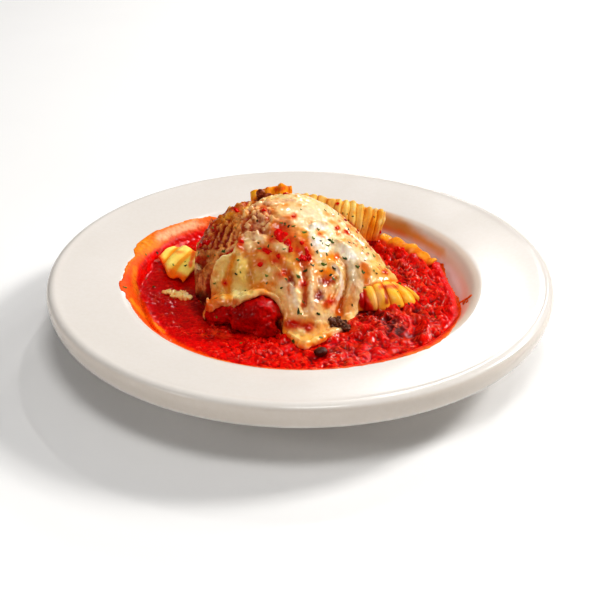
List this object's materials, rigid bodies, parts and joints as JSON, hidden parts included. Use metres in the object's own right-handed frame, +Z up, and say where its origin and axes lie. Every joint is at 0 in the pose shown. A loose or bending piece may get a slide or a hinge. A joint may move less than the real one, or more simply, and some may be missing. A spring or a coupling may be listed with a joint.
{
  "type": "plate of lasagna",
  "caption": "Mound of lasagna with curly-edged sheets under melted cheese, in chunky tomato sauce, served in a wide-rimmed round pasta plate.",
  "frame": {"origin": "centre of the circle that the plate's foot ring stands on", "axes": "+Z up, +X to the diner's right, +Y away from the diner"},
  "size_m": [0.304, 0.304, 0.0793],
  "materials": {
    "plate": "glossy warm white glaze",
    "sauce": "wet, pulpy tomato sauce with orange oil at its edge",
    "filling": "moist minced meat, cheese and sauce",
    "cheese": "glossy melted cheese, cream to yellow, with orange stains",
    "pasta": "moist golden egg pasta",
    "meat": "sauce-covered meat, dark red and wet",
    "brown": "browned meat and mushroom",
    "tomato": "wet bright red tomato"
  },
  "bodies": {
    "root": {"plate": "plate", "sauce": "sauce", "meat_filling": "filling", "melted_cheese": "cheese", "noodle_back": "pasta", "noodle_right_edge": "pasta", "noodle_right_front": "pasta", "noodle_left": "pasta", "noodle_back_curl": "pasta", "meatball": "meat", "meat_crumble_back": "brown", "tomato_chunk": "tomato", "mushroom_front": "brown", "mushroom_low": "brown", "cheese_bit": "cheese"}
  },
  "joints": []
}
